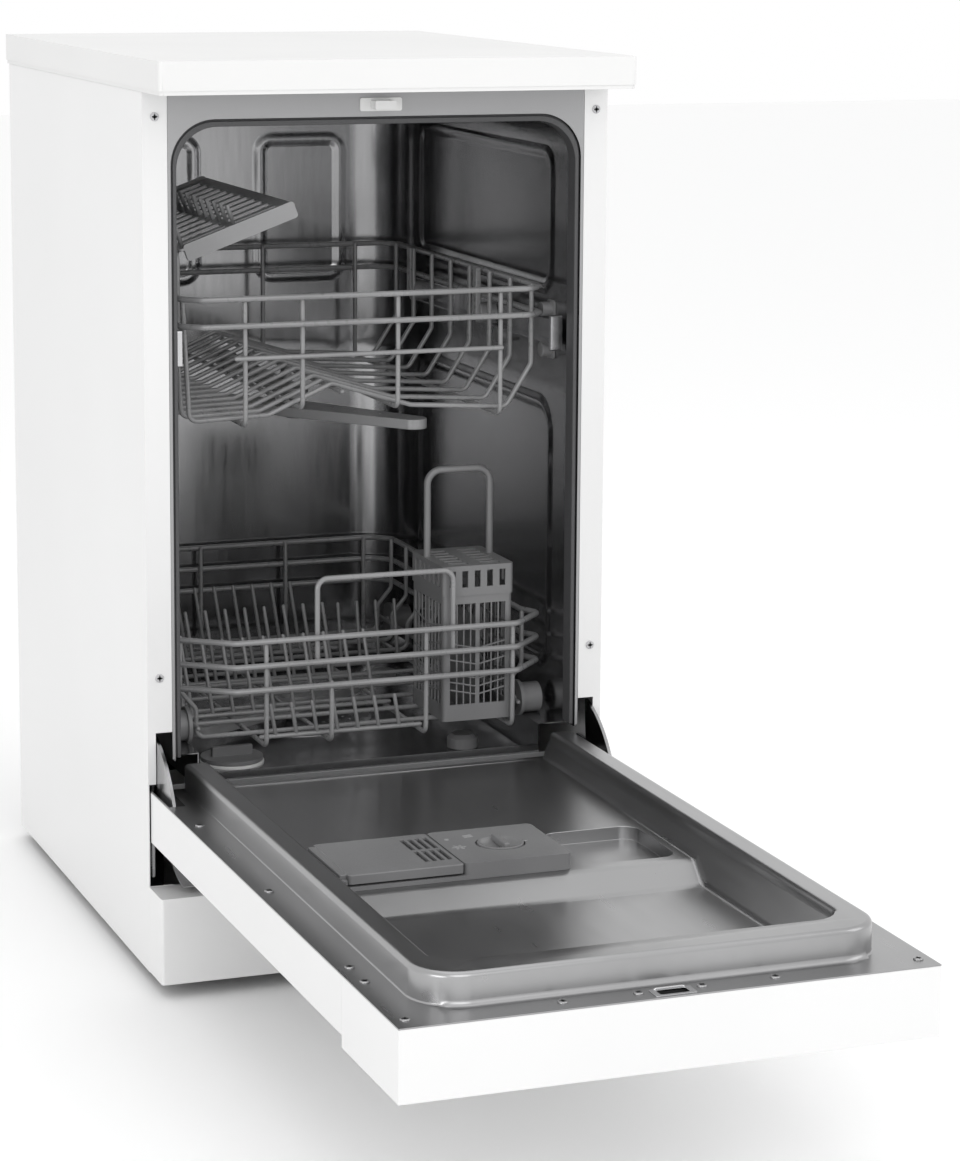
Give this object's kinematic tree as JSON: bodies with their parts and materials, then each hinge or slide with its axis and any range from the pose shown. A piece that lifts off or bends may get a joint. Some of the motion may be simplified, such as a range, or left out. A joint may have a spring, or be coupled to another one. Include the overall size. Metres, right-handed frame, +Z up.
{
  "type": "freestanding dishwasher",
  "caption": "Slim freestanding dishwasher with a drop-down door, sliding wire racks, cutlery basket, folding cup shelf and turning spray arms.",
  "frame": {"origin": "centre of the cabinet's footprint on the floor, in the plane of the four feet", "axes": "+X to the right of someone who faces the door, +Y from the front to the back, +Z up; the door is open and lies towards -Y, the racks are pushed in"},
  "size_m": [0.45, 1.2216, 0.85],
  "materials": {
    "white_board": "white laminated board",
    "white_paint": "smooth white enamel",
    "screw_head": "white coated screw heads",
    "galvanised": "plain galvanised steel",
    "polished_steel": "polished stainless steel",
    "collar_paint": "grey metallic lacquer",
    "seal_rubber": "matt dark rubber",
    "strike_plastic": "white moulding",
    "base_plastic": "black moulding",
    "sump_plastic": "grey moulding",
    "grey_plastic": "satin grey moulding",
    "arm_plastic": "satin grey moulding",
    "coated_wire": "grey nylon coating on steel wire",
    "button_plastic": "silver-grey caps",
    "smoked_window": "dark translucent window"
  },
  "bodies": {
    "cabinet": {"worktop": "white_board", "side_panel_left": "white_paint", "side_panel_right": "white_paint", "back_panel": "galvanised", "base_tray": "base_plastic", "plinth": "white_paint", "tub": "polished_steel", "tub_collar": "collar_paint", "door_seal": "seal_rubber", "door_strike": "strike_plastic", "sweep_panel": "collar_paint", "hinge_brackets": "galvanised", "panel_screws": "screw_head", "sump": "sump_plastic", "filter_plate": "polished_steel", "circulation_pump": "sump_plastic", "drain_pump": "sump_plastic", "water_softener": "strike_plastic", "feed_pipe": "sump_plastic", "inlet_valve": "sump_plastic", "rail_guides": "grey_plastic"},
    "door": {"door_panel": "white_paint", "control_panel": "white_paint", "door_liner": "polished_steel", "hinge_arms": "galvanised", "dispenser_body": "grey_plastic", "door_screws": "polished_steel", "door_latch": "base_plastic", "indicator_lens": "smoked_window"},
    "detergent_lid": {"detergent_lid": "grey_plastic"},
    "rinse_aid_cap": {"rinse_aid_cap": "grey_plastic"},
    "power_button": {"power_button": "button_plastic"},
    "program_button": {"program_button": "button_plastic"},
    "upper_rack": {"upper_rack_frame": "coated_wire", "upper_rack_wires": "coated_wire", "upper_feed_pipe": "grey_plastic"},
    "upper_rails": {"upper_rails": "galvanised"},
    "upper_spray_arm": {"upper_spray_arm": "arm_plastic"},
    "cup_shelf": {"cup_shelf": "grey_plastic"},
    "lower_rack": {"lower_rack_frame": "coated_wire", "lower_rack_wires": "coated_wire", "lower_rack_tines": "coated_wire"},
    "cutlery_basket": {"cutlery_basket": "grey_plastic", "basket_cover": "grey_plastic"},
    "lower_spray_arm": {"lower_spray_arm": "arm_plastic"},
    "filter_cup": {"filter_cup": "grey_plastic"},
    "salt_cap": {"salt_cap": "grey_plastic"},
    "float_dome": {"float_dome": "grey_plastic"},
    "foot_front_left": {"foot_front_left": "base_plastic"},
    "foot_front_right": {"foot_front_right": "base_plastic"},
    "foot_rear_left": {"foot_rear_left": "base_plastic"},
    "foot_rear_right": {"foot_rear_right": "base_plastic"},
    "wheel_left_1": {"wheel_left_1": "grey_plastic"},
    "wheel_left_2": {"wheel_left_2": "grey_plastic"},
    "wheel_left_3": {"wheel_left_3": "grey_plastic"},
    "wheel_left_4": {"wheel_left_4": "grey_plastic"},
    "wheel_right_1": {"wheel_right_1": "grey_plastic"},
    "wheel_right_2": {"wheel_right_2": "grey_plastic"},
    "wheel_right_3": {"wheel_right_3": "grey_plastic"},
    "wheel_right_4": {"wheel_right_4": "grey_plastic"}
  },
  "joints": [
    {"name": "door_hinge", "type": "hinge", "parent": "cabinet", "child": "door", "pos_m": [0, -0.2638, 0.1582], "axis": [-1, 0, 0], "range_deg": [0, 90]},
    {"name": "detergent_lid_hinge", "type": "hinge", "parent": "door", "child": "detergent_lid", "pos_m": [-0.1525, -0.5426, 0.1915], "axis": [0, -1, 0], "range_deg": [0, 100]},
    {"name": "rinse_aid_cap_turn", "type": "hinge", "parent": "door", "child": "rinse_aid_cap", "pos_m": [0.003, -0.5426, 0.2], "axis": [0, 0, 1], "range_deg": [0, 90]},
    {"name": "power_button_press", "type": "slide", "parent": "door", "child": "power_button", "axis": [0, 0, 1], "range_m": [0, 0.0012], "stiffness_N_per_m": 400, "springref_m": -0.0005},
    {"name": "program_button_press", "type": "slide", "parent": "door", "child": "program_button", "axis": [0, 0, 1], "range_m": [0, 0.0012], "stiffness_N_per_m": 400, "springref_m": -0.0005},
    {"name": "lower_rack_slide", "type": "slide", "parent": "cabinet", "child": "lower_rack", "axis": [0, 1, 0], "range_m": [-0.4, 0]},
    {"name": "upper_rack_slide", "type": "slide", "parent": "cabinet", "child": "upper_rack", "axis": [0, 1, 0], "range_m": [-0.33, 0]},
    {"name": "upper_rails_slide", "type": "slide", "parent": "cabinet", "child": "upper_rails", "axis": [0, 1, 0], "range_m": [-0.1816, 0]},
    {"name": "upper_spray_arm_spin", "type": "hinge", "parent": "upper_rack", "child": "upper_spray_arm", "pos_m": [0, 0.025, 0.489], "axis": [0, 0, 1], "continuous": true},
    {"name": "cup_shelf_fold", "type": "hinge", "parent": "upper_rack", "child": "cup_shelf", "pos_m": [-0.1714, 0.002, 0.667], "axis": [0, -1, 0], "range_deg": [0, 60]},
    {"name": "wheel_left_1_roll", "type": "hinge", "parent": "lower_rack", "child": "wheel_left_1", "pos_m": [-0.177, -0.16196, 0.22455], "axis": [1, 0, 0], "range_deg": [-5, 1600]},
    {"name": "wheel_left_2_roll", "type": "hinge", "parent": "lower_rack", "child": "wheel_left_2", "pos_m": [-0.177, -0.06164, 0.22455], "axis": [1, 0, 0], "range_deg": [-5, 1600]},
    {"name": "wheel_left_3_roll", "type": "hinge", "parent": "lower_rack", "child": "wheel_left_3", "pos_m": [-0.177, 0.1162, 0.22455], "axis": [1, 0, 0], "range_deg": [-5, 1600]},
    {"name": "wheel_left_4_roll", "type": "hinge", "parent": "lower_rack", "child": "wheel_left_4", "pos_m": [-0.177, 0.21652, 0.22455], "axis": [1, 0, 0], "range_deg": [-5, 1600]},
    {"name": "wheel_right_1_roll", "type": "hinge", "parent": "lower_rack", "child": "wheel_right_1", "pos_m": [0.177, -0.16196, 0.22455], "axis": [1, 0, 0], "range_deg": [-5, 1600]},
    {"name": "wheel_right_2_roll", "type": "hinge", "parent": "lower_rack", "child": "wheel_right_2", "pos_m": [0.177, -0.06164, 0.22455], "axis": [1, 0, 0], "range_deg": [-5, 1600]},
    {"name": "wheel_right_3_roll", "type": "hinge", "parent": "lower_rack", "child": "wheel_right_3", "pos_m": [0.177, 0.1162, 0.22455], "axis": [1, 0, 0], "range_deg": [-5, 1600]},
    {"name": "wheel_right_4_roll", "type": "hinge", "parent": "lower_rack", "child": "wheel_right_4", "pos_m": [0.177, 0.21652, 0.22455], "axis": [1, 0, 0], "range_deg": [-5, 1600]},
    {"name": "basket_lift", "type": "slide", "parent": "lower_rack", "child": "cutlery_basket", "axis": [0, 0, 1], "range_m": [0, 0.024]},
    {"name": "lower_spray_arm_spin", "type": "hinge", "parent": "cabinet", "child": "lower_spray_arm", "pos_m": [0, 0.025, 0.19], "axis": [0, 0, 1], "continuous": true},
    {"name": "filter_cup_turn", "type": "hinge", "parent": "cabinet", "child": "filter_cup", "pos_m": [-0.038, 0.025, 0.172], "axis": [0, 0, 1], "range_deg": [0, 90]},
    {"name": "salt_cap_turn", "type": "hinge", "parent": "cabinet", "child": "salt_cap", "pos_m": [-0.11, -0.12, 0.176], "axis": [0, 0, 1], "range_deg": [0, 90]},
    {"name": "float_lift", "type": "slide", "parent": "cabinet", "child": "float_dome", "axis": [0, 0, 1], "range_m": [0, 0.005]},
    {"name": "foot_front_left_level", "type": "slide", "parent": "cabinet", "child": "foot_front_left", "axis": [0, 0, -1], "range_m": [0, 0.025]},
    {"name": "foot_front_right_level", "type": "slide", "parent": "cabinet", "child": "foot_front_right", "axis": [0, 0, -1], "range_m": [0, 0.025]},
    {"name": "foot_rear_left_level", "type": "slide", "parent": "cabinet", "child": "foot_rear_left", "axis": [0, 0, -1], "range_m": [0, 0.025]},
    {"name": "foot_rear_right_level", "type": "slide", "parent": "cabinet", "child": "foot_rear_right", "axis": [0, 0, -1], "range_m": [0, 0.025]}
  ],
  "couplings": [
    {"joint": "upper_rails_slide", "follows": "upper_rack_slide", "ratio": 0.55},
    {"joint": "wheel_left_1_roll", "follows": "lower_rack_slide", "rad_per_m": -68.966},
    {"joint": "wheel_left_2_roll", "follows": "lower_rack_slide", "rad_per_m": -68.966},
    {"joint": "wheel_left_3_roll", "follows": "lower_rack_slide", "rad_per_m": -68.966},
    {"joint": "wheel_left_4_roll", "follows": "lower_rack_slide", "rad_per_m": -68.966},
    {"joint": "wheel_right_1_roll", "follows": "lower_rack_slide", "rad_per_m": -68.966},
    {"joint": "wheel_right_2_roll", "follows": "lower_rack_slide", "rad_per_m": -68.966},
    {"joint": "wheel_right_3_roll", "follows": "lower_rack_slide", "rad_per_m": -68.966},
    {"joint": "wheel_right_4_roll", "follows": "lower_rack_slide", "rad_per_m": -68.966}
  ]
}
